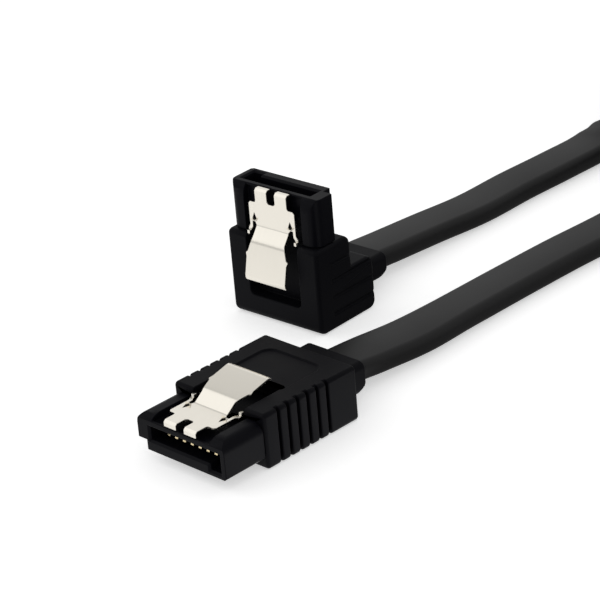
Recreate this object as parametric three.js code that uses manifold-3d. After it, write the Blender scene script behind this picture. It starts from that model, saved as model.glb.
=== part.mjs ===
// A flat signal cable with a straight plug at one end and a right-angle plug at the other.
// Units are millimetres, +Z is up. The origin is the middle of the straight plug's flat underside,
// its mating face looks along -Y and its cable leaves along +Y.

import * as THREE from 'three';
import { mergeVertices } from 'three/addons/utils/BufferGeometryUtils.js';
import Module from 'manifold-3d';

const wasm = await Module();
wasm.setup();

// Housing: the hard plastic nose that takes the header, and its tail inside the overmould.
const bodyWidth = 14.5;
const noseSideSetback = 0.25;
const noseWidth = bodyWidth - 2 * noseSideSetback;
const noseLength = 6.2;
const noseBottom = 1.35;
const noseHeight = 4.55;
const noseCornerRadius = 1.4;
const noseLowerChamfer = 0.3;
const keyStepWidth = 1.35;
const keyStepHeight = 1.25;
const trayWidth = 9.2;
const trayFloorDrop = 0.95;
const rimThickness = 0.35;
const rimDrop = 0.7;
const railRampLength = 1.9;
const tailWidth = 11.8;
const tailHeight = 2.6;
const tailLength = 3.2;
const tailBottomAboveNose = 0.55;

// The L-shaped slot in the mating face.
const slotLeftReach = 5.05;
const slotRightReach = 6.1;
const slotLegWidth = 1.65;
const slotFloorAboveNose = 1.4;
const slotHeight = 1.6;
const slotLegDrop = 0.75;
const slotDepth = 5;
const leadIn = 0.25;

// Seven spring contacts.
const contactCount = 7;
const contactPitch = 1.27;
const contactWidth = 0.45;
const contactThickness = 0.2;
const contactTipDepth = 1.7;
const contactBumpRise = 0.25;
const contactNoseLean = 0.14;
const contactNoseLength = 0.5;
const contactHump = 1.4;
const contactAboveSlotFloor = 0.2;
const contactTailLength = 0.6;
const channelClearance = 0.06;

// Stamped steel latch. Distances run back from the tips of its two prongs.
const latchSheet = 0.25;
const tipSetback = 0.1;
const tipDrop = 0.55;
const latchPlateAboveTray = 0.85;
const prongOuter = 2.55;
const prongInner = 0.65;
const prongNotchLength = 1.75;
const earStart = 1.9;
const earHalfWidth = 3.7;
const earEnd = 4.5;
const armKnee = 5;
const armEnd = 6.2;
const armOuter = 4;
const armWidth = 0.4;
const hookRise = 0.35;
const hookLength = 0.45;
const bendEase = 0.25;
const rampStart = 4.85;
const rampLength = 1.85;
const rampRise = 1.25;
const rampHalfWidth = 2.6;
const handleLength = 4.45;
const handleRise = 0.95;
const handleHalfWidth = 3.25;
const handleFlareLength = 1.9;
const handleLipLength = 0.3;
const handleLipDrop = 0.15;
const biteDepth = 0.15;
const toothPlace = 3.25;
const toothOffset = 2.9;
const toothWindowLength = 0.85;
const toothLength = 0.3;
const toothWidth = 0.7;
const toothRise = 0.4;

// Overmould of the straight plug.
const bodyLength = 14.9;
const bodyHeight = 6.9;
const bodyEdgeRadius = 0.5;
const bodyBevel = 0.4;
const grooveCount = 6;
const groovePitch = 1.56;
const grooveFirst = 2.3;
const grooveWidth = 0.46;
const grooveDepth = 0.65;
const latchWindowWidth = 8.3;
const latchWindowLength = 6.7;
const latchWindowFloorDrop = 0.05;
const windowCornerRadius = 0.7;
const panelInset = 2.85;
const panelBackMargin = 2.35;
const panelDepth = 0.22;
const panelCornerRadius = 1.4;
const panelFrontRadius = 0.3;
const neckWidth = 9.4;
const neckTop = 4.95;
const neckBottom = 1;
const neckLength = 4.2;
const neckEdgeRadius = 0.9;
const neckBevel = 0.35;
const neckSlantLength = 1.5;
const neckSlantRise = 1.2;
const cableAxisHeight = 2.65;
const fitClearance = 0.1;
const seamGap = 0.05;

// Right-angle plug: its overmould is an L seen from the side.
const angledHeight = 11.35;
const angledEdgeRadius = 1.1;
const angledBevel = 0.5;
const angledTopRadius = 0.65;
const angledWindowLength = 8.3;
const angledNeckTop = 4.6;
const angledNeckBottom = 1.3;
const angledUpperDepth = 6.5;
const angledLowerDepth = 10.5;
const angledLowerHeight = 7.1;
const angledNoseSetback = 0.75;
const angledNeckLength = 5.6;
const angledCableAxisHeight = 2.65;
const angledGrooveRadius = 0.28;
const angledGrooveCount = 4;
const angledGroovePitch = 2.2;
const angledGrooveFirst = 2.1;
const angledGrooveStart = 2.6;
const angledX = -18.1;
const angledY = 19.85;
const angledTurnDegrees = 3;

// Inner mould and conductors, hidden in the overmoulds.
const innerMouldLength = 2.6;
const innerMouldGap = 0.3;
const pocketBeyondMould = 3.2;
const signalWireDiameter = 0.8;
const drainWireDiameter = 0.36;
const wirePitchInCable = 0.9;
const wireBoreClearance = 0.1;
const wireBendRadius = 2;
const wireSides = 8;
const wireSteps = 16;
const wireSettleLength = 0.3;
const wireMeetLength = 2.4;
const wireGroupCount = 3;

// Flat cable.
const cableWidth = 6.6;
const cableThickness = 2.6;
const cableEdgeRadius = 1.05;
const boreClearance = 0.1;
const cordGap = 0.3;
const cableInsideNeck = 1;
const coilRadius = 33.4;
const coilX = 4;
const coilY = 122.5;
const coilWall = 3.2;
const coilHeight = 13.6;
const coilChordSides = 72;
const leadSteps = 40;

// Tie that holds the coil, as a band over its top and down both sides.
const tiePlaceDegrees = 60;
const tieWidth = 3;
const tieThickness = 0.4;
const tieGap = 0.1;

// Places worked out from the sizes above.
const bodyFront = -bodyLength / 2;
const bodyBack = bodyLength / 2;
const matingFace = bodyFront - noseLength;
const noseTop = noseBottom + noseHeight;
const trayFloor = noseTop - trayFloorDrop;
const slotFloor = noseBottom + slotFloorAboveNose;
const slotEnd = matingFace + slotDepth;
const tailBottom = noseBottom + tailBottomAboveNose;
const tailEnd = bodyFront + tailLength;
const contactHeight = slotFloor + contactAboveSlotFloor;
const contactTailEnd = tailEnd + contactTailLength;
const latchTip = matingFace + tipSetback;
const latchBottom = trayFloor + latchPlateAboveTray;
const windowFloor = trayFloor - latchWindowFloorDrop;
const mouldStart = contactTailEnd + innerMouldGap;
const mouldEnd = mouldStart + innerMouldLength;
const wireHeight = contactHeight + contactThickness / 2;
const neckEnd = bodyBack + neckLength;
const cableStart = bodyBack + cableInsideNeck;
const angledNeckEnd = angledLowerDepth + angledNeckLength;
const angledCableStart = angledLowerDepth + cableInsideNeck;
const angledDepthZero = noseTop + angledNoseSetback;
const angledHeightZero = angledHeight + bodyFront + seamGap;

const materials = {
  housing: new THREE.MeshStandardMaterial({ color: 0x1b1b1f, roughness: 0.38, metalness: 0 }),
  overmould: new THREE.MeshStandardMaterial({ color: 0x1f1e22, roughness: 0.45, metalness: 0 }),
  jacket: new THREE.MeshStandardMaterial({ color: 0x2b2b2b, roughness: 0.5, metalness: 0 }),
  latch: new THREE.MeshStandardMaterial({ color: 0xe4e0d6, roughness: 0.28, metalness: 1 }),
  contact: new THREE.MeshStandardMaterial({ color: 0xd9b46a, roughness: 0.25, metalness: 1 }),
  innerMould: new THREE.MeshStandardMaterial({ color: 0xd8d8d2, roughness: 0.5, metalness: 0 }),
  insulation: new THREE.MeshStandardMaterial({ color: 0xb9c4d6, roughness: 0.5, metalness: 0 }),
  drain: new THREE.MeshStandardMaterial({ color: 0xc8c8c8, roughness: 0.35, metalness: 1 }),
  tie: new THREE.MeshStandardMaterial({ color: 0x161616, roughness: 0.6, metalness: 0 }),
};

// Solids and meshes.
function solid(geometry) {
  const bare = new THREE.BufferGeometry();
  bare.setAttribute('position', geometry.getAttribute('position'));
  if (geometry.index) bare.setIndex(geometry.index);
  const merged = mergeVertices(bare, 1e-5);
  return new wasm.Manifold(new wasm.Mesh({
    numProp: 3,
    vertProperties: new Float32Array(merged.getAttribute('position').array),
    triVerts: new Uint32Array(merged.index.array),
  }));
}

function geometryOf(body) {
  const mesh = body.getMesh();
  const geometry = new THREE.BufferGeometry();
  geometry.setAttribute('position', new THREE.BufferAttribute(mesh.vertProperties, 3));
  geometry.setIndex(new THREE.BufferAttribute(mesh.triVerts, 1));
  const flat = geometry.toNonIndexed();
  flat.computeVertexNormals();
  return flat;
}

function box(x0, x1, y0, y1, z0, z1) {
  const geometry = new THREE.BoxGeometry(x1 - x0, y1 - y0, z1 - z0);
  geometry.translate((x0 + x1) / 2, (y0 + y1) / 2, (z0 + z1) / 2);
  return solid(geometry);
}

// A rectangle with round corners. radii run from lower left, against the clock.
function roundedRectangle(x0, x1, y0, y1, radii) {
  const [a, b, c, d] = radii;
  const shape = new THREE.Shape();
  shape.moveTo(x0 + a, y0);
  shape.lineTo(x1 - b, y0);
  if (b > 0) shape.absarc(x1 - b, y0 + b, b, -Math.PI / 2, 0, false);
  shape.lineTo(x1, y1 - c);
  if (c > 0) shape.absarc(x1 - c, y1 - c, c, 0, Math.PI / 2, false);
  shape.lineTo(x0 + d, y1);
  if (d > 0) shape.absarc(x0 + d, y1 - d, d, Math.PI / 2, Math.PI, false);
  shape.lineTo(x0, y0 + a);
  if (a > 0) shape.absarc(x0 + a, y0 + a, a, Math.PI, 1.5 * Math.PI, false);
  return shape;
}

function polygon(points) {
  return new THREE.Shape(points.map(([x, y]) => new THREE.Vector2(x, y)));
}

function extrudeUp(shape, z0, z1, options = {}) {
  const bevel = options.bevel ?? 0;
  const geometry = new THREE.ExtrudeGeometry(shape, {
    depth: z1 - z0 - 2 * bevel,
    bevelEnabled: bevel > 0,
    bevelThickness: bevel,
    bevelSize: bevel,
    bevelOffset: -bevel,
    bevelSegments: options.bevelSegments ?? 2,
    curveSegments: options.curveSegments ?? 4,
  });
  geometry.translate(0, 0, z0 + bevel);
  return geometry;
}

// The shape's x and y become X and Z, and it runs along Y.
function extrudeAlongY(shape, y0, y1, options) {
  const geometry = extrudeUp(shape, -y1, -y0, options);
  geometry.rotateX(Math.PI / 2);
  return solid(geometry);
}

// The shape's x and y become Y and Z, and it runs along X.
function extrudeAlongX(shape, x0, x1, options) {
  const geometry = extrudeUp(shape, x0, x1, options);
  const turn = new THREE.Matrix4().makeBasis(
    new THREE.Vector3(0, 1, 0), new THREE.Vector3(0, 0, 1), new THREE.Vector3(1, 0, 0));
  geometry.applyMatrix4(turn);
  return solid(geometry);
}

function extrudeAlongZ(shape, z0, z1, options) {
  return solid(extrudeUp(shape, z0, z1, options));
}

function cutAll(body, cutters) {
  return cutters.reduce((rest, cutter) => rest.subtract(cutter), body);
}

function contactX(index) {
  return (index - (contactCount - 1) / 2) * contactPitch;
}

// Outline of the L-shaped slot, seen from the mating face.
function slotOutline() {
  const top = slotFloor + slotHeight;
  const legLeft = slotRightReach - slotLegWidth;
  return polygon([
    [-slotLeftReach, slotFloor], [legLeft, slotFloor], [legLeft, slotFloor - slotLegDrop],
    [slotRightReach, slotFloor - slotLegDrop], [slotRightReach, top], [-slotLeftReach, top],
  ]);
}

function housingSection() {
  const half = noseWidth / 2;
  const r = noseCornerRadius;
  const shape = new THREE.Shape();
  shape.moveTo(-half + keyStepWidth, noseBottom);
  shape.lineTo(half - noseLowerChamfer, noseBottom);
  shape.lineTo(half, noseBottom + noseLowerChamfer);
  shape.lineTo(half, noseTop - r);
  shape.absarc(half - r, noseTop - r, r, 0, Math.PI / 2, false);
  shape.lineTo(-half + r, noseTop);
  shape.absarc(-half + r, noseTop - r, r, Math.PI / 2, Math.PI, false);
  shape.lineTo(-half, noseBottom + keyStepHeight);
  shape.lineTo(-half + keyStepWidth, noseBottom + keyStepHeight);
  return shape;
}

// Side view of the nose: its upper front edge falls to the rim in a curve.
function noseSideView() {
  const rim = noseTop - rimDrop;
  const shape = new THREE.Shape();
  shape.moveTo(matingFace, noseBottom - 1);
  shape.lineTo(bodyFront, noseBottom - 1);
  shape.lineTo(bodyFront, noseTop + 1);
  shape.lineTo(matingFace + railRampLength, noseTop + 1);
  shape.lineTo(matingFace + railRampLength, noseTop);
  shape.quadraticCurveTo(matingFace + railRampLength * 0.35, noseTop, matingFace, rim);
  return shape;
}

function buildHousing() {
  const nose = extrudeAlongY(housingSection(), matingFace, bodyFront - seamGap);
  const side = extrudeAlongX(noseSideView(), -noseWidth, noseWidth);
  const tail = box(-tailWidth / 2, tailWidth / 2, bodyFront - 1, tailEnd,
    tailBottom, tailBottom + tailHeight);
  const tray = box(-trayWidth / 2, trayWidth / 2, matingFace + rimThickness, bodyFront + 1,
    trayFloor, noseTop + 1);
  const overRim = box(-trayWidth / 2, trayWidth / 2, matingFace - 1, matingFace + 1,
    noseTop - rimDrop, noseTop + 1);
  const cutters = [tray, overRim];
  for (const sign of [-1, 1]) {
    const middle = sign * (prongInner + prongOuter) / 2;
    const half = (prongOuter - prongInner) / 2 + fitClearance;
    cutters.push(box(middle - half, middle + half, matingFace - 1, latchTip + latchSheet + fitClearance,
      latchBottom - tipDrop - fitClearance, noseTop + 1));
  }
  const slot = extrudeAlongY(slotOutline(), matingFace - 1, slotEnd);
  const mouth = new THREE.ExtrudeGeometry(slotOutline(), {
    depth: 1, bevelEnabled: true, bevelThickness: leadIn, bevelSize: leadIn, bevelSegments: 1,
  });
  mouth.rotateX(Math.PI / 2);
  mouth.translate(0, matingFace, 0);
  cutters.push(slot, solid(mouth));
  for (let i = 0; i < contactCount; i += 1) {
    const half = contactWidth / 2 + channelClearance;
    cutters.push(box(contactX(i) - half, contactX(i) + half, slotEnd - 0.5, tailEnd + 1,
      contactHeight - channelClearance, contactHeight + contactThickness + channelClearance));
  }
  return cutAll(nose.intersect(side).add(tail), cutters);
}

// A spring contact: straight tail, a low hump, and a nose folded down that faces the slot's mouth.
function buildContact() {
  const tip = matingFace + contactTipDepth;
  const nose = tip + contactNoseLean;
  const crest = tip + contactNoseLength;
  const foot = crest + contactHump;
  const low = contactHeight;
  const high = contactHeight + contactBumpRise;
  const t = contactThickness;
  const outline = polygon([
    [contactTailEnd, low], [contactTailEnd, low + t], [foot, low + t], [crest, high + t],
    [nose, high + t], [tip, low], [tip + t, low], [nose + t, high], [crest, high], [foot, low],
  ]);
  return extrudeAlongX(outline, -contactWidth / 2, contactWidth / 2);
}

// Side view of the latch sheet, as the points of its lower side.
function latchLowerSide() {
  const zero = latchBottom;
  const inside = latchTip + latchSheet;
  const bend = latchTip + rampStart;
  const crest = bend + rampLength;
  const end = crest + handleLength;
  return [
    [inside, zero - tipDrop],
    [inside, zero - bendEase / 2],
    [inside + bendEase / 2, zero],
    [bend - bendEase, zero],
    [bend + bendEase, zero + bendEase / 2],
    [crest - bendEase, zero + rampRise - bendEase / 2],
    [crest + bendEase, zero + rampRise + bendEase / 4],
    [end - bendEase, zero + rampRise + handleRise],
    [end, zero + rampRise + handleRise],
    [end + handleLipLength, zero + rampRise + handleRise - handleLipDrop],
  ];
}

// Gives a line of points its sheet thickness, measured square to the line, with mitred bends.
function thickened(points, thickness) {
  const runs = points.slice(1).map(([y, z], i) => (
    new THREE.Vector2(y - points[i][0], z - points[i][1]).normalize()));
  const upper = points.map(([y, z], i) => {
    const before = runs[Math.max(i - 1, 0)];
    const after = runs[Math.min(i, runs.length - 1)];
    const middle = before.clone().add(after).normalize();
    const reach = thickness / middle.dot(before);
    return [y - middle.y * reach, z + middle.x * reach];
  });
  return [...points, ...upper.reverse()];
}

// Plan view of the right half of the latch. y is measured back from the prong tips.
function latchHalfPlan() {
  const crest = rampStart + rampLength;
  const end = crest + handleLength + handleLipLength + 1;
  const flare = crest + handleFlareLength;
  const ease = bendEase;
  return polygon([
    [-0.01, prongNotchLength],
    [prongInner - ease, prongNotchLength],
    [prongInner, prongNotchLength - ease],
    [prongInner, -1],
    [prongOuter, -1],
    [prongOuter, earStart - ease],
    [prongOuter + ease / 3, earStart - ease / 3],
    [prongOuter + ease, earStart],
    [earHalfWidth - ease, earStart],
    [earHalfWidth, earStart + ease],
    [earHalfWidth, earEnd],
    [rampHalfWidth + ease, earEnd],
    [rampHalfWidth, rampStart],
    [rampHalfWidth, crest - 2 * ease],
    [handleHalfWidth - biteDepth, flare - 3 * ease],
    [handleHalfWidth + biteDepth, flare - 2 * ease],
    [handleHalfWidth, flare],
    [handleHalfWidth, end],
    [-0.01, end],
  ]);
}

// A tooth lanced from the plate stands up at the back edge of its three-cornered window.
function latchTooth(sign) {
  const y = latchTip + toothPlace + toothWindowLength;
  const top = latchBottom + latchSheet;
  const x = sign * toothOffset;
  const wedge = polygon([
    [y, latchBottom], [y + toothLength, latchBottom], [y + toothLength, top], [y, top + toothRise],
  ]);
  return extrudeAlongX(wedge, x - toothWidth / 2, x + toothWidth / 2);
}

function toothWindow(sign) {
  const y = latchTip + toothPlace;
  const x = sign * toothOffset;
  const triangle = polygon([
    [x, y], [x + toothWidth / 2, y + toothWindowLength], [x - toothWidth / 2, y + toothWindowLength],
  ]);
  return extrudeAlongZ(triangle, latchBottom - 1, latchBottom + 1);
}

// A flat arm runs back from the ear, steps out, and ends in a low upturned hook.
function latchArm() {
  const ease = bendEase;
  const inner = earHalfWidth - armWidth;
  const plan = polygon([
    [inner, earEnd - ease],
    [earHalfWidth, earEnd - ease],
    [earHalfWidth, armKnee],
    [armOuter, armKnee + 2 * ease],
    [armOuter, armEnd],
    [armOuter - armWidth, armEnd],
    [armOuter - armWidth, armKnee + 3 * ease],
    [inner, armKnee + ease],
  ]);
  const arm = extrudeAlongZ(plan, latchBottom, latchBottom + latchSheet);
  const hook = box(armOuter - armWidth, armOuter, armEnd - hookLength, armEnd,
    latchBottom, latchBottom + latchSheet + hookRise);
  return arm.add(hook).translate([0, latchTip, 0]);
}

function buildLatch() {
  const reach = 2 * armOuter;
  const sheet = extrudeAlongX(polygon(thickened(latchLowerSide(), latchSheet)), -reach, reach);
  const halves = [1, -1].map((sign) => {
    const plan = extrudeUp(latchHalfPlan(), latchBottom - 2 * tipDrop,
      latchBottom + 2 * (rampRise + handleRise));
    plan.translate(0, latchTip, 0);
    const half = solid(plan);
    return sign > 0 ? half : half.mirror([1, 0, 0]);
  });
  let body = sheet.intersect(halves[0].add(halves[1]));
  for (const sign of [-1, 1]) {
    const arm = sign > 0 ? latchArm() : latchArm().mirror([1, 0, 0]);
    body = body.add(arm).subtract(toothWindow(sign)).add(latchTooth(sign));
  }
  return body;
}

// Pocket for the housing's tail, the inner mould and the conductors, along Y.
function pocketSolid(end) {
  return box(-tailWidth / 2 - fitClearance, tailWidth / 2 + fitClearance, bodyFront - 1, end,
    tailBottom - fitClearance, tailBottom + tailHeight + fitClearance);
}

// The latch lies over this window in the overmould; it is open at the front and the top.
function latchWindow(length) {
  const half = latchWindowWidth / 2;
  const r = windowCornerRadius;
  const outline = roundedRectangle(-half, half, bodyFront - 1, bodyFront + length, [0, 0, r, r]);
  return extrudeAlongZ(outline, windowFloor, 2 * bodyHeight);
}

function cableBore(y0, y1, height) {
  const half = cableWidth / 2 + boreClearance;
  const tall = cableThickness / 2 + boreClearance;
  const r = tall * 0.7;
  const outline = roundedRectangle(-half, half, height - tall, height + tall, [r, r, r, r]);
  return extrudeAlongY(outline, y0, y1);
}

// The neck's underside rises towards its end, where the cable bends down.
function neckSolid(y0, y1, low, high) {
  const r = neckEdgeRadius;
  const outline = roundedRectangle(-neckWidth / 2, neckWidth / 2, low, high, [r, r, r, r]);
  const slant = polygon([
    [y1 - neckSlantLength, low], [y1 - neckSlantLength, low - 1], [y1 + 1, low - 1],
    [y1 + 1, low + neckSlantRise], [y1, low + neckSlantRise],
  ]);
  return extrudeAlongY(outline, y0, y1, { bevel: neckBevel })
    .subtract(extrudeAlongX(slant, -neckWidth, neckWidth));
}

// A groove between two ribs of the grip, cut through from its underside to its top.
function uprightGroove(side, y) {
  const wall = side * bodyWidth / 2;
  const ends = [wall - side * grooveDepth, wall + side];
  return box(Math.min(...ends), Math.max(...ends), y - grooveWidth / 2, y + grooveWidth / 2,
    -1, bodyHeight + 1);
}

function buildStraightOvermould() {
  const half = bodyWidth / 2;
  const r = bodyEdgeRadius;
  const outline = roundedRectangle(-half, half, 0, bodyHeight, [r, r, r, r]);
  const block = extrudeAlongY(outline, bodyFront, bodyBack, { bevel: bodyBevel });
  const neck = neckSolid(bodyBack - 1, neckEnd, neckBottom, neckTop);
  const pocketEnd = mouldEnd + pocketBeyondMould;
  const panelHalf = half - panelInset;
  const p = panelCornerRadius;
  const q = panelFrontRadius;
  const panel = extrudeAlongZ(
    roundedRectangle(-panelHalf, panelHalf, bodyFront + latchWindowLength - 1, bodyBack - panelBackMargin,
      [q, q, p, p]),
    bodyHeight - panelDepth, bodyHeight + 1);
  const cutters = [
    latchWindow(latchWindowLength), pocketSolid(pocketEnd), panel,
    cableBore(pocketEnd - 0.5, neckEnd + 1, cableAxisHeight),
  ];
  for (let i = 0; i < grooveCount; i += 1) {
    const y = bodyFront + grooveFirst + i * groovePitch;
    cutters.push(uprightGroove(1, y), uprightGroove(-1, y));
  }
  return cutAll(block.add(neck), cutters);
}

// Moves a solid from the straight plug's frame to the right-angle plug's: mating face up,
// latch to the front.
const angledFromStraight = new THREE.Matrix4().makeBasis(
  new THREE.Vector3(-1, 0, 0), new THREE.Vector3(0, 0, -1), new THREE.Vector3(0, -1, 0));
angledFromStraight.setPosition(0, angledDepthZero, angledHeightZero);

function inAngledFrame(body) {
  return solid(geometryOf(body).applyMatrix4(angledFromStraight));
}

function angledSideView() {
  const r = angledEdgeRadius;
  const t = angledTopRadius;
  const shape = new THREE.Shape();
  shape.moveTo(r, 0);
  shape.lineTo(angledLowerDepth - r, 0);
  shape.absarc(angledLowerDepth - r, r, r, -Math.PI / 2, 0, false);
  shape.lineTo(angledLowerDepth, angledLowerHeight - r);
  shape.absarc(angledLowerDepth - r, angledLowerHeight - r, r, 0, Math.PI / 2, false);
  shape.lineTo(angledUpperDepth, angledLowerHeight);
  shape.lineTo(angledUpperDepth, angledHeight - r);
  shape.absarc(angledUpperDepth - r, angledHeight - r, r, 0, Math.PI / 2, false);
  shape.lineTo(t, angledHeight);
  shape.absarc(t, angledHeight - t, t, Math.PI / 2, Math.PI, false);
  shape.lineTo(0, r);
  shape.absarc(r, r, r, Math.PI, 1.5 * Math.PI, false);
  return shape;
}

function levelGroove(x, z) {
  const length = angledLowerDepth;
  const geometry = new THREE.CylinderGeometry(angledGrooveRadius, angledGrooveRadius, length, 10);
  geometry.translate(x, angledGrooveStart + length / 2, z);
  return solid(geometry);
}

function buildAngledOvermould() {
  const half = bodyWidth / 2;
  const block = extrudeAlongX(angledSideView(), -half, half, { bevel: angledBevel, bevelSegments: 3 });
  const neck = neckSolid(angledLowerDepth - angledEdgeRadius - 1, angledNeckEnd,
    angledNeckBottom, angledNeckTop);
  const boreTall = cableThickness / 2 + boreClearance;
  const pocketFloor = angledCableAxisHeight - boreTall;
  const pocketEnd = angledHeightZero - pocketFloor;
  const duct = box(-wirePitchInCable * 4, wirePitchInCable * 4,
    angledDepthZero - wireHeight, angledLowerDepth - 1, pocketFloor, angledCableAxisHeight + boreTall);
  const cutters = [
    inAngledFrame(latchWindow(angledWindowLength)), inAngledFrame(pocketSolid(pocketEnd)), duct,
    cableBore(angledLowerDepth - 1.5, angledNeckEnd + 1, angledCableAxisHeight),
  ];
  for (let i = 0; i < angledGrooveCount; i += 1) {
    const z = angledGrooveFirst + i * angledGroovePitch;
    cutters.push(levelGroove(half, z), levelGroove(-half, z));
  }
  return cutAll(block.add(neck), cutters);
}

function buildInnerMould() {
  const reach = tailWidth / 2;
  const block = box(-reach, reach, mouldStart, mouldEnd, tailBottom, tailBottom + tailHeight);
  const bores = [];
  for (let i = 0; i < contactCount; i += 1) {
    const r = wireDiameter(i) / 2 + wireBoreClearance;
    const bore = new THREE.CylinderGeometry(r, r, innerMouldLength + 2, 12);
    bore.translate(contactX(i), (mouldStart + mouldEnd) / 2, wireHeight);
    bores.push(solid(bore));
  }
  return cutAll(block, bores);
}

// Each group across the row is a drain wire and a pair of signal wires.
function isDrain(index) {
  return index % wireGroupCount === 0;
}

function wireDiameter(index) {
  return isDrain(index) ? drainWireDiameter : signalWireDiameter;
}

function wireXInCable(index) {
  return (index - (contactCount - 1) / 2) * wirePitchInCable;
}

// A round conductor along a line of points.
function conductor(points, diameter) {
  const curve = new THREE.CatmullRomCurve3(points, false, 'centripetal');
  const section = new THREE.Shape();
  for (let i = 0; i < wireSides; i += 1) {
    const angle = (2 * Math.PI * i) / wireSides;
    const x = (diameter / 2) * Math.cos(angle);
    const y = (diameter / 2) * Math.sin(angle);
    if (i === 0) section.moveTo(x, y);
    else section.lineTo(x, y);
  }
  return new THREE.ExtrudeGeometry(section, { steps: wireSteps, extrudePath: curve, bevelEnabled: false });
}

function straightWirePoints(index) {
  const x0 = contactX(index);
  const x1 = wireXInCable(index);
  return [
    new THREE.Vector3(x0, mouldStart, wireHeight),
    new THREE.Vector3(x0, mouldEnd, wireHeight),
    new THREE.Vector3(x0, mouldEnd + wireSettleLength, wireHeight),
    new THREE.Vector3(x1, mouldEnd + wireMeetLength, cableAxisHeight),
    new THREE.Vector3(x1, bodyBack, cableAxisHeight),
    new THREE.Vector3(x1, cableStart - cordGap, cableAxisHeight),
  ];
}

function angledWirePoints(index) {
  const x0 = -contactX(index);
  const x1 = -wireXInCable(index);
  const y0 = angledDepthZero - wireHeight;
  const top = angledHeightZero - mouldStart;
  const low = angledHeightZero - mouldEnd;
  const turnTop = angledCableAxisHeight + wireBendRadius;
  const points = [
    new THREE.Vector3(x0, y0, top),
    new THREE.Vector3(x0, y0, low),
  ];
  for (let k = 1; k <= 3; k += 1) {
    const angle = (k / 3) * (Math.PI / 2);
    const share = k / 3;
    points.push(new THREE.Vector3(x0 + (x1 - x0) * share, y0 + wireBendRadius * (1 - Math.cos(angle)),
      turnTop - wireBendRadius * Math.sin(angle)));
  }
  points.push(new THREE.Vector3(x1, angledLowerDepth, angledCableAxisHeight));
  points.push(new THREE.Vector3(x1, angledCableStart - cordGap, angledCableAxisHeight));
  return points;
}

// A point of the right-angle plug's cable axis, at a depth behind its front.
function angledExit(depth) {
  const turn = THREE.MathUtils.degToRad(angledTurnDegrees);
  return [angledX - depth * Math.sin(turn), angledY + depth * Math.cos(turn), angledCableAxisHeight, 0];
}

// Cable routes. The points are chosen by hand; each is x, y, z and the twist from flat in degrees.
const straightLead = [
  [0, cableStart, cableAxisHeight, 0], [0, neckEnd, cableAxisHeight, 0], [0.25, 17, 2.35, 4],
  [0.45, 24, 1.85, 4], [0.1, 33, 1.55, 0], [-0.1, 43, 1.42, 0], [0, 53, 1.42, 0], [0.5, 66, 1.5, 0],
  [1, 71.1, 2.4, 15], [2.3, 75.7, 3.8, 45], [4.5, 79.9, 5.7, 72], [7.4, 83.5, 7.9, 88],
  [10.95, 86.6, 9.7, 90],
];
const angledLead = [
  angledExit(angledCableStart), angledExit(angledNeckEnd), [-19.05, 41, 2.3, 0],
  [-19.25, 49, 1.75, 0], [-18.9, 58, 1.4, 0], [-19.1, 67, 1.4, 0], [-18.95, 76, 1.4, 0],
  [-19, 84, 1.5, 0], [-19.2, 87.8, 2.3, -14], [-19.9, 91.5, 3.45, -48], [-20.9, 94.5, 3.8, -75],
  [-22, 97, 3.5, -90],
];

// A flat section with round edges, as points.
function flatSection() {
  const points = [];
  const corners = [[1, -1, -90], [1, 1, 0], [-1, 1, 90], [-1, -1, 180]];
  for (const [sideX, sideY, start] of corners) {
    for (const turn of [0, 45, 90]) {
      const angle = THREE.MathUtils.degToRad(start + turn);
      points.push([
        sideX * (cableWidth / 2 - cableEdgeRadius) + cableEdgeRadius * Math.cos(angle),
        sideY * (cableThickness / 2 - cableEdgeRadius) + cableEdgeRadius * Math.sin(angle),
      ]);
    }
  }
  return points;
}

// The flat section, swept with its twist along a hand-chosen route.
function flatLead(route) {
  const section = polygon(flatSection());
  const geometry = new THREE.ExtrudeGeometry(section, { depth: 1, steps: leadSteps, bevelEnabled: false });
  const curve = new THREE.CatmullRomCurve3(route.map(([x, y, z]) => new THREE.Vector3(x, y, z)),
    false, 'centripetal');
  const position = geometry.getAttribute('position');
  const up = new THREE.Vector3(0, 0, 1);
  for (let i = 0; i < position.count; i += 1) {
    const t = Math.min(Math.max(position.getZ(i), 0), 1);
    const along = t * (route.length - 1);
    const low = Math.min(Math.floor(along), route.length - 2);
    const twist = THREE.MathUtils.lerp(route[low][3], route[low + 1][3], along - low);
    const angle = THREE.MathUtils.degToRad(twist);
    const point = curve.getPoint(t);
    const tangent = curve.getTangent(t);
    const side = new THREE.Vector3().crossVectors(up, tangent).normalize();
    const rise = new THREE.Vector3().crossVectors(tangent, side).normalize();
    const wide = side.clone().multiplyScalar(Math.cos(angle)).addScaledVector(rise, Math.sin(angle));
    const deep = rise.clone().multiplyScalar(Math.cos(angle)).addScaledVector(side, -Math.sin(angle));
    point.addScaledVector(wide, position.getX(i)).addScaledVector(deep, position.getY(i));
    position.setXYZ(i, point.x, point.y, point.z);
  }
  return solid(geometry);
}

function buildCoil() {
  const inner = coilRadius - coilWall / 2;
  const outer = coilRadius + coilWall / 2;
  const profile = [[inner, 0], [outer, 0], [outer, coilHeight], [inner, coilHeight], [inner, 0]];
  const ring = new THREE.LatheGeometry(profile.map(([r, z]) => new THREE.Vector2(r, z)), coilChordSides);
  ring.rotateX(Math.PI / 2);
  ring.translate(coilX, coilY, 0);
  return ring;
}

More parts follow.
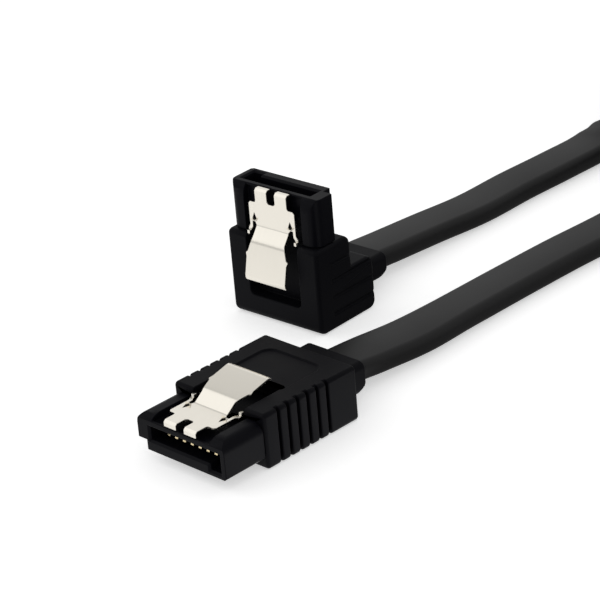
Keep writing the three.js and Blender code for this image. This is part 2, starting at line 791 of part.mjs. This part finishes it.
function buildTie() {
  const reach = coilWall / 2 + tieGap;
  const outer = box(-reach - tieThickness, reach + tieThickness, -tieWidth / 2, tieWidth / 2,
    tieGap, coilHeight + tieGap + tieThickness);
  const inner = box(-reach, reach, -tieWidth, tieWidth, -1, coilHeight + tieGap);
  const angle = THREE.MathUtils.degToRad(tiePlaceDegrees);
  return outer.subtract(inner).rotate([0, 0, tiePlaceDegrees])
    .translate([coilX + coilRadius * Math.cos(angle), coilY + coilRadius * Math.sin(angle), 0]);
}

function meshOf(name, body, material) {
  const geometry = body.isBufferGeometry ? body : geometryOf(body);
  const mesh = new THREE.Mesh(geometry, material);
  mesh.name = name;
  return mesh;
}

// The pieces that both plugs share, in the straight plug's frame.
function plugPieces(name) {
  const group = new THREE.Group();
  group.add(meshOf(`${name}_housing`, buildHousing(), materials.housing));
  const contact = geometryOf(buildContact());
  for (let i = 0; i < contactCount; i += 1) {
    const mesh = meshOf(`${name}_contact_${i + 1}`, contact, materials.contact);
    mesh.position.x = contactX(i);
    group.add(mesh);
  }
  group.add(meshOf(`${name}_latch`, buildLatch(), materials.latch));
  group.add(meshOf(`${name}_inner_mould`, buildInnerMould(), materials.innerMould));
  return group;
}

function addWires(group, name, pointsOf) {
  for (let i = 0; i < contactCount; i += 1) {
    const kind = isDrain(i) ? 'drain_wire' : 'signal_wire';
    const material = isDrain(i) ? materials.drain : materials.insulation;
    group.add(meshOf(`${name}_${kind}_${i + 1}`, conductor(pointsOf(i), wireDiameter(i)), material));
  }
}

function straightPlug() {
  const group = new THREE.Group();
  group.add(plugPieces('straight'));
  group.add(meshOf('straight_overmould', buildStraightOvermould(), materials.overmould));
  addWires(group, 'straight', straightWirePoints);
  return group;
}

function angledPlug() {
  const group = new THREE.Group();
  const pieces = plugPieces('angled');
  pieces.applyMatrix4(angledFromStraight);
  group.add(pieces);
  group.add(meshOf('angled_overmould', buildAngledOvermould(), materials.overmould));
  addWires(group, 'angled', angledWirePoints);
  group.position.set(angledX, angledY, 0);
  group.rotation.z = THREE.MathUtils.degToRad(angledTurnDegrees);
  return group;
}

const cable = new THREE.Group();
cable.add(straightPlug());
cable.add(angledPlug());
cable.add(meshOf('cable_lead_straight', flatLead(straightLead), materials.jacket));
cable.add(meshOf('cable_coil', buildCoil(), materials.jacket));
cable.add(meshOf('cable_lead_angled', flatLead(angledLead), materials.jacket));
cable.add(meshOf('cable_tie', buildTie(), materials.tie));

export default cable;
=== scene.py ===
import math

import bmesh
import bpy
from mathutils import Matrix, Vector


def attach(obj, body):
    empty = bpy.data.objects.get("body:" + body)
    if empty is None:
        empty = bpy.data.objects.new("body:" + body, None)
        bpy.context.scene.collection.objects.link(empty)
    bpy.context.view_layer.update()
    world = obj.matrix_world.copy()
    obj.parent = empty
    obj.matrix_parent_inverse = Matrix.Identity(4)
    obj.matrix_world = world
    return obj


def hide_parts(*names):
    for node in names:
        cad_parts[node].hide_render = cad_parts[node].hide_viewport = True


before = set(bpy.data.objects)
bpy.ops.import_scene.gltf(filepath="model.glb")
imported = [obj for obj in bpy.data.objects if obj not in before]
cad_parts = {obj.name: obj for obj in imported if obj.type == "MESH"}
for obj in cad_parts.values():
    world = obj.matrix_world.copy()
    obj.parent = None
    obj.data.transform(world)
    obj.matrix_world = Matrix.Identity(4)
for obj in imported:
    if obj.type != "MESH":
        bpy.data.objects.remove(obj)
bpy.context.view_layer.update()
scene = bpy.context.scene
mm = 0.001

camera = {
    "eye": (0.192976, -0.179013, 0.140018),
    "right": (0.717278, 0.692348, -0.078526),
    "up": (-0.246576, 0.357616, 0.900728),
    "lens": 156.0,        # mm on the sensor below, a telephoto
    "sensor": 36.0,
    "clipStart": 0.01,
    "clipEnd": 20.0,
}


def placeCamera(values):
    data = bpy.data.cameras.new("photoCamera")
    data.lens = values["lens"]
    data.sensor_width = values["sensor"]
    data.clip_start = values["clipStart"]
    data.clip_end = values["clipEnd"]
    right = Vector(values["right"]).normalized()
    up = Vector(values["up"]).normalized()
    back = right.cross(up)
    item = bpy.data.objects.new("photoCamera", data)
    turn = Matrix((right, up, back)).transposed()
    item.matrix_world = Matrix.Translation(values["eye"]) @ turn.to_4x4()
    scene.collection.objects.link(item)
    scene.camera = item


placeCamera(camera)
print("camera placed")


# small helpers
def linearFrom(hexText):
    # "3a2b1c" or "#3a2b1c", as sRGB, to linear RGBA
    text = hexText.lstrip("#")
    parts = [int(text[i:i + 2], 16) / 255 for i in (0, 2, 4)]
    linear = [c / 12.92 if c <= 0.04045 else ((c + 0.055) / 1.055) ** 2.4 for c in parts]
    return (*linear, 1.0)


def addNode(tree, kind, settings=None, links=None):
    # one node, its settings by attribute or input name, and what feeds its inputs
    node = tree.nodes.new(kind)
    for name, value in (settings or {}).items():
        if name in node.inputs and not hasattr(node, name):
            node.inputs[name].default_value = value
        else:
            setattr(node, name, value)
    for name, source in (links or {}).items():
        tree.links.new(source, node.inputs[name])
    return node


def newMaterial(name):
    material = bpy.data.materials.new(name)
    material.use_nodes = True
    material.node_tree.nodes.clear()
    return material, material.node_tree


def smoothByAngle(mesh, degrees):
    for face in mesh.polygons:
        face.use_smooth = True
    mesh.set_sharp_from_angle(angle=math.radians(degrees))


def newPiece(name, mesh, body, material):
    item = bpy.data.objects.new(name, mesh)
    scene.collection.objects.link(item)
    mesh.materials.clear()
    mesh.materials.append(material)
    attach(item, body)
    return item


# How far the roughness falls and rises about its mean, and how strongly the relief bends the light.
surfaces = {
    "extruded": {"fall": 0.05, "rise": 0.06, "relief": 0.5},
    "moulded": {"fall": 0.05, "rise": 0.07, "relief": 0.6},
    "rolled": {"fall": 0.05, "rise": 0.08, "relief": 0.5},
}

jacketLook = {
    "colour": "0c0c0d",
    "roughness": 0.5,
    "specular": 0.31,
    "drawLineMm": 0.25,   # spacing of the lines that the extrusion die leaves
    "lineDepthMm": 0.006,
    "changesPerMetre": 60.0,   # how often a line changes along the jacket
    "waveMm": 14.0,       # slow change of sheen along the jacket
}


def extrudedPvc(values):
    # black PVC, extruded: an even satin with faint lines along its length
    surface = surfaces["extruded"]
    material, tree = newMaterial("extrudedPvc")
    place = addNode(tree, "ShaderNodeUVMap", {"uv_map": "metres"})
    scale = (values["changesPerMetre"], 1 / (values["drawLineMm"] * mm), 1.0)
    stretched = addNode(tree, "ShaderNodeMapping", {"Scale": scale}, {"Vector": place.outputs["UV"]})
    lines = addNode(tree, "ShaderNodeTexNoise", {"Scale": 1.0, "Detail": 2.0},
                    {"Vector": stretched.outputs["Vector"]})
    slow = addNode(tree, "ShaderNodeTexNoise", {"Scale": 1 / (values["waveMm"] * mm), "Detail": 1.0},
                   {"Vector": place.outputs["UV"]})
    roughness = addNode(tree, "ShaderNodeMapRange",
                        {"To Min": values["roughness"] - surface["fall"],
                         "To Max": values["roughness"] + surface["rise"]},
                        {"Value": slow.outputs["Fac"]})
    bump = addNode(tree, "ShaderNodeBump",
                   {"Strength": surface["relief"], "Distance": values["lineDepthMm"] * mm},
                   {"Height": lines.outputs["Fac"]})
    shader = addNode(tree, "ShaderNodeBsdfPrincipled",
                     {"Base Color": linearFrom(values["colour"]), "Specular IOR Level": values["specular"]},
                     {"Roughness": roughness.outputs["Result"], "Normal": bump.outputs["Normal"]})
    addNode(tree, "ShaderNodeOutputMaterial", {}, {"Surface": shader.outputs["BSDF"]})
    return material


overmouldLook = {
    "colour": "0d0d11",
    "roughness": 0.5,
    "specular": 0.055,
    "grainMm": 0.28,      # spark-eroded grain, drawn coarser than the real 0.05 mm so that it shows
    "grainDepthMm": 0.008,
    "patchMm": 5.0,       # slow change of sheen where the melt met the mould
}

housingLook = {
    "colour": "0b0b10",
    "roughness": 0.36,
    "specular": 0.052,
    "grainMm": 0.4,
    "grainDepthMm": 0.003,
    "patchMm": 7.0,
}

innerMouldLook = {
    "colour": "d8d8d0",
    "roughness": 0.5,
    "specular": 0.4,
    "grainMm": 0.5,
    "grainDepthMm": 0.004,
    "patchMm": 4.0,
}

tieLook = {
    "colour": "0e0e0f",
    "roughness": 0.4,
    "specular": 0.3,
    "grainMm": 0.5,
    "grainDepthMm": 0.002,
    "patchMm": 6.0,
}

insulationLook = {
    "colour": "aab6cc",
    "roughness": 0.45,
    "specular": 0.4,
    "grainMm": 0.3,
    "grainDepthMm": 0.003,
    "patchMm": 6.0,
}


def mouldedPlastic(name, values):
    # moulded plastic: the grain of the mould's steel, and a slow change of sheen
    surface = surfaces["moulded"]
    material, tree = newMaterial(name)
    place = addNode(tree, "ShaderNodeTexCoord")
    grain = addNode(tree, "ShaderNodeTexNoise", {"Scale": 1 / (values["grainMm"] * mm), "Detail": 3.0},
                    {"Vector": place.outputs["Object"]})
    patch = addNode(tree, "ShaderNodeTexNoise", {"Scale": 1 / (values["patchMm"] * mm), "Detail": 1.5},
                    {"Vector": place.outputs["Object"]})
    roughness = addNode(tree, "ShaderNodeMapRange",
                        {"To Min": values["roughness"] - surface["fall"],
                         "To Max": values["roughness"] + surface["rise"]},
                        {"Value": patch.outputs["Fac"]})
    bump = addNode(tree, "ShaderNodeBump",
                   {"Strength": surface["relief"], "Distance": values["grainDepthMm"] * mm},
                   {"Height": grain.outputs["Fac"]})
    shader = addNode(tree, "ShaderNodeBsdfPrincipled",
                     {"Base Color": linearFrom(values["colour"]), "Specular IOR Level": values["specular"]},
                     {"Roughness": roughness.outputs["Result"], "Normal": bump.outputs["Normal"]})
    addNode(tree, "ShaderNodeOutputMaterial", {}, {"Surface": shader.outputs["BSDF"]})
    return material


latchLook = {
    "colour": "efeadf",
    "roughness": 0.22,
    "rollLineMm": 0.12,   # rolling lines of the strip, drawn coarser than the real ones
    "lineDepthMm": 0.002,
}

goldLook = {
    "colour": "f3e0b4",
    "roughness": 0.2,
    "rollLineMm": 0.1,
    "lineDepthMm": 0.001,
}

tinLook = {
    "colour": "c9c9c6",
    "roughness": 0.34,
    "rollLineMm": 0.1,
    "lineDepthMm": 0.002,
}


lineStretch = 30          # a rolling line is this many times as long as it is wide


def rolledMetal(name, values):
    # rolled strip or drawn wire: a soft mirror broken up by fine lines along it
    surface = surfaces["rolled"]
    material, tree = newMaterial(name)
    place = addNode(tree, "ShaderNodeTexCoord")
    across = 1 / (values["rollLineMm"] * mm)
    along = across / lineStretch
    stretched = addNode(tree, "ShaderNodeMapping", {"Scale": (across, along, along)},
                        {"Vector": place.outputs["Object"]})
    lines = addNode(tree, "ShaderNodeTexNoise", {"Scale": 1.0, "Detail": 2.0},
                    {"Vector": stretched.outputs["Vector"]})
    roughness = addNode(tree, "ShaderNodeMapRange",
                        {"To Min": values["roughness"] - surface["fall"],
                         "To Max": values["roughness"] + surface["rise"]},
                        {"Value": lines.outputs["Fac"]})
    bump = addNode(tree, "ShaderNodeBump",
                   {"Strength": surface["relief"], "Distance": values["lineDepthMm"] * mm},
                   {"Height": lines.outputs["Fac"]})
    shader = addNode(tree, "ShaderNodeBsdfPrincipled",
                     {"Base Color": linearFrom(values["colour"]), "Metallic": 1.0},
                     {"Roughness": roughness.outputs["Result"], "Normal": bump.outputs["Normal"]})
    addNode(tree, "ShaderNodeOutputMaterial", {}, {"Surface": shader.outputs["BSDF"]})
    return material


jacketPvc = extrudedPvc(jacketLook)
overmouldPvc = mouldedPlastic("mouldedPvc", overmouldLook)            # soft PVC over the plug, satin
housingPbt = mouldedPlastic("mouldedPbt", housingLook)                # glass-filled PBT, harder and glossier
innerPe = mouldedPlastic("mouldedPolyethylene", innerMouldLook)       # natural polyethylene, waxy
insulationPe = mouldedPlastic("foamedPolyethylene", insulationLook)   # foamed core of the signal wires
latchSteel = rolledMetal("rolledStainless", latchLook)                # 301 spring strip, stamped and bent
contactGold = rolledMetal("goldFlashedBrass", goldLook)               # gold flash over nickel
tiePolyamide = mouldedPlastic("mouldedPolyamide", tieLook)            # cable tie, tough and slightly glossy
drainTin = rolledMetal("tinnedCopper", tinLook)                       # drawn and tinned
print("materials made")

# For each kind of piece: the width in mm of a broken edge, its steps, and the angles in degrees above
# which an edge is broken and above which it stays sharp in the shading.
plugEdges = {
    "overmould": {"edge": 0.14, "segments": 2, "sharp": 32, "smooth": 40},
    "housing": {"edge": 0.08, "segments": 2, "sharp": 32, "smooth": 40},
    "latch": {"edge": 0.03, "segments": 1, "sharp": 50, "smooth": 35},
    "tie": {"edge": 0.08, "segments": 2, "sharp": 40, "smooth": 40},
}


joining = {"weld": 0.0005, "flat": 1.5}   # mm between doubled points, degrees between faces of one flat


def softenedPiece(node, name, body, edges, material):
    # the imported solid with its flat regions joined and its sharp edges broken, as a mould leaves them
    work = bmesh.new()
    work.from_mesh(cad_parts[node].data)
    bmesh.ops.scale(work, vec=(1000, 1000, 1000), verts=work.verts)
    bmesh.ops.remove_doubles(work, verts=work.verts, dist=joining["weld"])
    bmesh.ops.dissolve_limit(work, angle_limit=math.radians(joining["flat"]), use_dissolve_boundaries=False,
                             verts=work.verts, edges=work.edges)
    sharp = [e for e in work.edges if len(e.link_faces) == 2
             and e.calc_face_angle(0) > math.radians(edges["sharp"])]
    bmesh.ops.bevel(work, geom=sharp, offset=edges["edge"], segments=edges["segments"], profile=0.5,
                    affect="EDGES", offset_type="OFFSET", clamp_overlap=False, loop_slide=True,
                    miter_outer="SHARP")
    bmesh.ops.scale(work, vec=(mm, mm, mm), verts=work.verts)
    mesh = bpy.data.meshes.new(name)
    work.to_mesh(mesh)
    work.free()
    smoothByAngle(mesh, edges["smooth"])
    item = newPiece(name, mesh, body, material)
    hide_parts(node)
    weighted = item.modifiers.new("faceWeights", "WEIGHTED_NORMAL")
    weighted.keep_sharp = True
    return item


# The route repeats the frame's: x, y, z in mm and the twist from flat in degrees.
cable = {
    "straightLead": [
        (0, 8.45, 2.65, 0), (0, 11.65, 2.65, 0), (0.25, 17, 2.35, 4), (0.45, 24, 1.85, 4), (0.1, 33, 1.55, 0),
        (-0.1, 43, 1.42, 0), (0, 53, 1.42, 0), (0.5, 66, 1.5, 0), (1, 71.1, 2.4, 15), (2.3, 75.7, 3.8, 45),
        (4.5, 79.9, 5.7, 72), (7.4, 83.5, 7.9, 88), (10.95, 86.6, 9.7, 90), (16.9, 91.1, 10.2, 90),
    ],
    "angledLead": [
        (-18.702, 31.334, 2.65, 0), (-18.943, 35.928, 2.65, 0), (-19.05, 41, 2.3, 0), (-19.25, 49, 1.75, 0),
        (-18.9, 58, 1.4, 0), (-19.1, 67, 1.4, 0), (-18.95, 76, 1.4, 0), (-19, 84, 1.5, 0),
        (-19.2, 87.8, 2.3, -14), (-19.9, 91.5, 3.45, -48), (-20.9, 94.5, 3.8, -75), (-22, 97, 3.5, -90),
        (-24.2, 103.1, 3.4, -90),
    ],
    "coilCentre": (4, 122.5),
    "coilRadius": 33.4,
    "coilStart": -55,     # degrees, against the clock from +X
    "coilEnd": 560,
    "upperLevel": 10.2,   # mm, middle of the cable's width in the upper turn
    "lowerLevel": 3.4,
    "dropStart": 170,
    "dropEnd": 283,
    "stepDegrees": 20.5,
    "width": 6.6,
    "thickness": 2.6,
    "edgeRadius": 1.05,
    "samples": 7,         # rings between two points of the route
    "edgeSteps": 5,       # points round each corner of the section, less one
    "smooth": 50,         # degrees above which an edge of the jacket stays sharp
}


def smoothStep(value):
    t = min(max(value, 0.0), 1.0)
    return t * t * (3 - 2 * t)


def cableRoute(values):
    points = [tuple(p) for p in values["straightLead"]]
    span = values["coilEnd"] - values["coilStart"]
    steps = round(span / values["stepDegrees"])
    for i in range(steps + 1):
        degrees = values["coilStart"] + span * i / steps
        angle = math.radians(degrees)
        share = smoothStep((degrees - values["dropStart"]) / (values["dropEnd"] - values["dropStart"]))
        z = values["upperLevel"] + (values["lowerLevel"] - values["upperLevel"]) * share
        points.append((values["coilCentre"][0] + values["coilRadius"] * math.cos(angle),
                       values["coilCentre"][1] + values["coilRadius"] * math.sin(angle), z, 90))
    points += [(x, y, z, -twist) for x, y, z, twist in reversed(values["angledLead"])]
    return points


def centripetal(points, samples):
    # a centripetal spline through the points; x, y, z and twist run together
    places = [Vector(p[:3]) for p in points]
    twists = [p[3] for p in points]
    places = [2 * places[0] - places[1], *places, 2 * places[-1] - places[-2]]
    out = []
    for i in range(1, len(places) - 2):
        p0, p1, p2, p3 = places[i - 1:i + 3]
        t1 = (p1 - p0).length ** 0.5
        t2 = t1 + (p2 - p1).length ** 0.5
        t3 = t2 + (p3 - p2).length ** 0.5
        last = samples if i < len(places) - 3 else samples + 1
        for k in range(last):
            share = k / samples
            t = t1 + (t2 - t1) * share
            a1 = p0 * ((t1 - t) / t1) + p1 * (t / t1)
            a2 = p1 * ((t2 - t) / (t2 - t1)) + p2 * ((t - t1) / (t2 - t1))
            a3 = p2 * ((t3 - t) / (t3 - t2)) + p3 * ((t - t2) / (t3 - t2))
            b1 = a1 * ((t2 - t) / t2) + a2 * (t / t2)
            b2 = a2 * ((t3 - t) / (t3 - t1)) + a3 * ((t - t1) / (t3 - t1))
            twist = twists[i - 1] + (twists[i] - twists[i - 1]) * smoothStep(share)
            out.append((b1 * ((t2 - t) / (t2 - t1)) + b2 * ((t - t1) / (t2 - t1)), twist))
    return out


def jacketSection(width, thickness, radius, steps):
    # flat with round edges, against the clock
    points = []
    for cx, cy, start in ((1, -1, -90), (1, 1, 0), (-1, 1, 90), (-1, -1, 180)):
        for k in range(steps + 1):
            angle = math.radians(start + 90 * k / steps)
            points.append((cx * (width / 2 - radius) + radius * math.cos(angle),
                           cy * (thickness / 2 - radius) + radius * math.sin(angle)))
    return points


tieHead = {
    "angle": 60,          # degrees, where the tie grips the coil
    "radius": 35.5,       # mm, outer side of the band
    "z": 9.0,
    "wide": 4.4,
    "deep": 2.6,
    "tall": 4.6,
    "edge": 0.35,
    "edgeSteps": 3,
    "smooth": 35,
    "tailWidth": 2.4,
    "tailThickness": 0.9,
    "tail": [(1.3, 1.6), (1.4, 4.0), (1.9, 6.5), (3.0, 8.6), (4.6, 10.0)],   # outwards and up, mm
}


def buildTie(values):
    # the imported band, a ratchet head on its outer side and the cut tail that stands out of it
    band = softenedPiece("cable_tie", "tieBand", "root", plugEdges["tie"], tiePolyamide)
    work = bmesh.new()
    bmesh.ops.create_cube(work, size=1)
    bmesh.ops.scale(work, vec=(values["deep"], values["wide"], values["tall"]), verts=work.verts)
    bmesh.ops.translate(work, vec=(values["deep"] / 2, 0, 0), verts=work.verts)
    bmesh.ops.bevel(work, geom=work.edges[:], offset=values["edge"], segments=values["edgeSteps"],
                    profile=0.5, affect="EDGES")
    half, thick = values["tailWidth"] / 2, values["tailThickness"]
    rows = []
    for out, rise in values["tail"]:
        rows.append([work.verts.new((x, y, rise)) for x, y in
                     ((out, -half), (out + thick, -half), (out + thick, half), (out, half))])
    for low, high in zip(rows, rows[1:]):
        for k in range(4):
            n = (k + 1) % 4
            work.faces.new((low[k], low[n], high[n], high[k]))
    work.faces.new(list(reversed(rows[0])))
    work.faces.new(rows[-1])
    bmesh.ops.recalc_face_normals(work, faces=work.faces)
    angle = math.radians(values["angle"])
    centre = cable["coilCentre"]
    place = Vector((centre[0] + values["radius"] * math.cos(angle),
                    centre[1] + values["radius"] * math.sin(angle), values["z"])) * mm
    seat = Matrix.Translation(place) @ Matrix.Rotation(angle, 4, "Z") @ Matrix.Scale(mm, 4)
    bmesh.ops.transform(work, matrix=seat, verts=work.verts)
    mesh = bpy.data.meshes.new("tieHead")
    work.to_mesh(mesh)
    work.free()
    smoothByAngle(mesh, values["smooth"])
    head = newPiece("tieHead", mesh, "root", tiePolyamide)
    return [band, head]


def buildCable(values, tiePieces):
    route = centripetal(cableRoute(values), values["samples"])
    section = jacketSection(values["width"], values["thickness"], values["edgeRadius"], values["edgeSteps"])
    count = len(section)
    work = bmesh.new()
    uv = work.loops.layers.uv.new("metres")
    up = Vector((0, 0, 1))
    rings, lengths, along = [], [], 0.0
    for i, (place, twist) in enumerate(route):
        before = route[max(i - 1, 0)][0]
        after = route[min(i + 1, len(route) - 1)][0]
        tangent = (after - before).normalized()
        side = up.cross(tangent).normalized()
        rise = tangent.cross(side).normalized()
        angle = math.radians(twist)
        wide = side * math.cos(angle) + rise * math.sin(angle)
        deep = rise * math.cos(angle) - side * math.sin(angle)
        rings.append([work.verts.new((place + wide * x + deep * y) * mm) for x, y in section])
        along += (place - route[max(i - 1, 0)][0]).length * mm
        lengths.append(along)
    around = [0.0]
    for k in range(count):
        a, b = Vector(section[k]), Vector(section[(k + 1) % count])
        around.append(around[-1] + (b - a).length * mm)
    for i in range(len(rings) - 1):
        for k in range(count):
            n = (k + 1) % count
            face = work.faces.new((rings[i][k], rings[i][n], rings[i + 1][n], rings[i + 1][k]))
            corners = ((lengths[i], around[k]), (lengths[i], around[k + 1]),
                       (lengths[i + 1], around[k + 1]), (lengths[i + 1], around[k]))
            for loop, corner in zip(face.loops, corners):
                loop[uv].uv = corner
    work.faces.new(list(reversed(rings[0])))
    work.faces.new(rings[-1])
    bmesh.ops.recalc_face_normals(work, faces=work.faces)
    mesh = bpy.data.meshes.new("flatCable")
    work.to_mesh(mesh)
    work.free()
    smoothByAngle(mesh, values["smooth"])
    item = newPiece("flatCable", mesh, "root", jacketPvc)
    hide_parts("cable_lead_straight", "cable_coil", "cable_lead_angled")
    print("cable length", round(lengths[-1], 4))
    return item


buildCable(cable, buildTie(tieHead))

for plug in ("straight", "angled"):
    softenedPiece(plug + "_overmould", plug + "Overmould", "root",
                  plugEdges["overmould"], overmouldPvc)
for plug in ("straight", "angled"):
    softenedPiece(plug + "_housing", plug + "Housing", "root",
                  plugEdges["housing"], housingPbt)
for plug in ("straight", "angled"):
    softenedPiece(plug + "_latch", plug + "Latch", plug + "_latch",
                  plugEdges["latch"], latchSteel)
print("plugs dressed")

kept = {
    "contact": contactGold,
    "inner_mould": innerPe,
    "signal_wire": insulationPe,
    "drain_wire": drainTin,
}


def dressKeptNodes(looks):
    for name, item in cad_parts.items():
        for word, material in looks.items():
            if word in name:
                item.data.materials.clear()
                item.data.materials.append(material)


dressKeptNodes(kept)
print("small pieces dressed")

stageLook = {
    "floorSize": 6.0,
    "floorDrop": 0.00005,     # below the object's underside, so that the two faces don't fight
    "floorColour": "f4f4f4",
    "floorRoughness": 0.8,
    "floorSpecular": 0.1,
    "floorGlow": 0.5,     # added for what the camera sees, so that the open floor is white
    "paintedReflectionNear": 1.0,  # painted reflection: the floor glows this much for glossy rays at the near left, on the key light's side
    "paintedReflectionFar": 0.28,  # and this much at the far right, away from it
    "fadeAlong": (0.7071, 0.7071, 0),    # from near left to far right
    "fadeStart": -0.008,
    "fadeEnd": 0.01,
    "glowPatchCentre": (0.022, 0.002, 0.0),   # painted reflection: a glowing patch on the floor beside the straight plug, seen in reflections only
    "glowPatchRadius": 0.022,
    "glowPatchEdge": 0.018,    # where the glowing patch starts to fade
    "glowPatchLevel": 1.7,
    "ambient": 0.6,       # the room's plain light
    "reflected": 0.6,     # the room as the steel and the plastic mirror it
}

lampTarget = (-0.008, 0.012, 0.004)    # between the two plugs

# Radiance is what a mirror sees of the lamp, on top of the room.
lamps = {
    "key": {"place": (-0.6, -0.37, 0.56), "size": 0.8, "radiance": 0.5},
    "edge": {"place": (-0.6, 0.56, 0.39), "size": 0.5, "radiance": 0.32},
}


def buildFloor(values):
    half = values["floorSize"] / 2
    level = -values["floorDrop"]
    mesh = bpy.data.meshes.new("floor")
    corners = [(-half, -half, level), (half, -half, level), (half, half, level), (-half, half, level)]
    mesh.from_pydata(corners, [], [(0, 1, 2, 3)])
    item = bpy.data.objects.new("floor", mesh)
    scene.collection.objects.link(item)
    material, tree = newMaterial("paintedFloor")
    path = addNode(tree, "ShaderNodeLightPath")
    glow = addNode(tree, "ShaderNodeMath", {"operation": "MULTIPLY"})
    tree.links.new(path.outputs["Is Camera Ray"], glow.inputs[0])
    glow.inputs[1].default_value = values["floorGlow"]
    painted = addNode(tree, "ShaderNodeBsdfPrincipled",
                      {"Base Color": linearFrom(values["floorColour"]), "Roughness": values["floorRoughness"],
                       "Specular IOR Level": values["floorSpecular"], "Emission Color": (1, 1, 1, 1)},
                      {"Emission Strength": glow.outputs[0]})
    # painted reflection: for glossy rays the floor glows, brighter at the near left than at the far right
    spot = addNode(tree, "ShaderNodeNewGeometry")
    across = addNode(tree, "ShaderNodeVectorMath", {"operation": "DOT_PRODUCT"})
    tree.links.new(spot.outputs["Position"], across.inputs[0])
    across.inputs[1].default_value = values["fadeAlong"]
    paintedReflectionFade = addNode(tree, "ShaderNodeMapRange",
                    {"From Min": values["fadeStart"], "From Max": values["fadeEnd"],
                     "To Min": values["paintedReflectionNear"], "To Max": values["paintedReflectionFar"]},
                    {"Value": across.outputs["Value"]})
    # painted reflection: a round glowing patch beside the straight plug, for glossy rays only
    fromGlowPatch = addNode(tree, "ShaderNodeVectorMath", {"operation": "DISTANCE"})
    tree.links.new(spot.outputs["Position"], fromGlowPatch.inputs[0])
    fromGlowPatch.inputs[1].default_value = values["glowPatchCentre"]
    glowPatch = addNode(tree, "ShaderNodeMapRange",
                   {"From Min": values["glowPatchEdge"], "From Max": values["glowPatchRadius"],
                    "To Min": values["glowPatchLevel"], "To Max": 0.0}, {"Value": fromGlowPatch.outputs["Value"]})
    brighter = addNode(tree, "ShaderNodeMath", {"operation": "MAXIMUM"})
    tree.links.new(paintedReflectionFade.outputs["Result"], brighter.inputs[0])
    tree.links.new(glowPatch.outputs["Result"], brighter.inputs[1])
    # the painted reflection glow, seen by glossy rays only
    mirrored = addNode(tree, "ShaderNodeEmission", {"Color": (1, 1, 1, 1)}, {"Strength": brighter.outputs[0]})
    both = addNode(tree, "ShaderNodeMixShader", {}, {"Fac": path.outputs["Is Glossy Ray"]})
    tree.links.new(painted.outputs["BSDF"], both.inputs[1])
    tree.links.new(mirrored.outputs["Emission"], both.inputs[2])
    addNode(tree, "ShaderNodeOutputMaterial", {}, {"Surface": both.outputs["Shader"]})
    mesh.materials.append(material)


def buildRoom(values):
    world = bpy.data.worlds.new("whiteRoom")
    world.use_nodes = True
    tree = world.node_tree
    tree.nodes.clear()
    path = addNode(tree, "ShaderNodeLightPath")
    mirrored = addNode(tree, "ShaderNodeMapRange",
                       {"To Min": values["ambient"], "To Max": values["reflected"]},
                       {"Value": path.outputs["Is Glossy Ray"]})
    strength = addNode(tree, "ShaderNodeMath", {"operation": "MAXIMUM"})
    tree.links.new(mirrored.outputs["Result"], strength.inputs[0])
    tree.links.new(path.outputs["Is Camera Ray"], strength.inputs[1])
    room = addNode(tree, "ShaderNodeBackground", {"Color": (1, 1, 1, 1)}, {"Strength": strength.outputs[0]})
    addNode(tree, "ShaderNodeOutputWorld", {}, {"Surface": room.outputs["Background"]})
    scene.world = world


def buildLamps(values, targetPlace):
    target = Vector(targetPlace)
    for name, lamp in values.items():
        data = bpy.data.lights.new(name, "AREA")
        data.shape = "SQUARE"
        data.size = lamp["size"]
        data.energy = lamp["radiance"] * math.pi * lamp["size"] ** 2
        item = bpy.data.objects.new(name, data)
        item.location = lamp["place"]
        item.rotation_mode = "QUATERNION"
        item.rotation_quaternion = (target - Vector(lamp["place"])).to_track_quat("-Z", "Y")
        scene.collection.objects.link(item)


buildFloor(stageLook)
buildRoom(stageLook)
buildLamps(lamps, lampTarget)
scene.view_settings.view_transform = "Standard"
print("floor and light made")

bpy.context.view_layer.update()
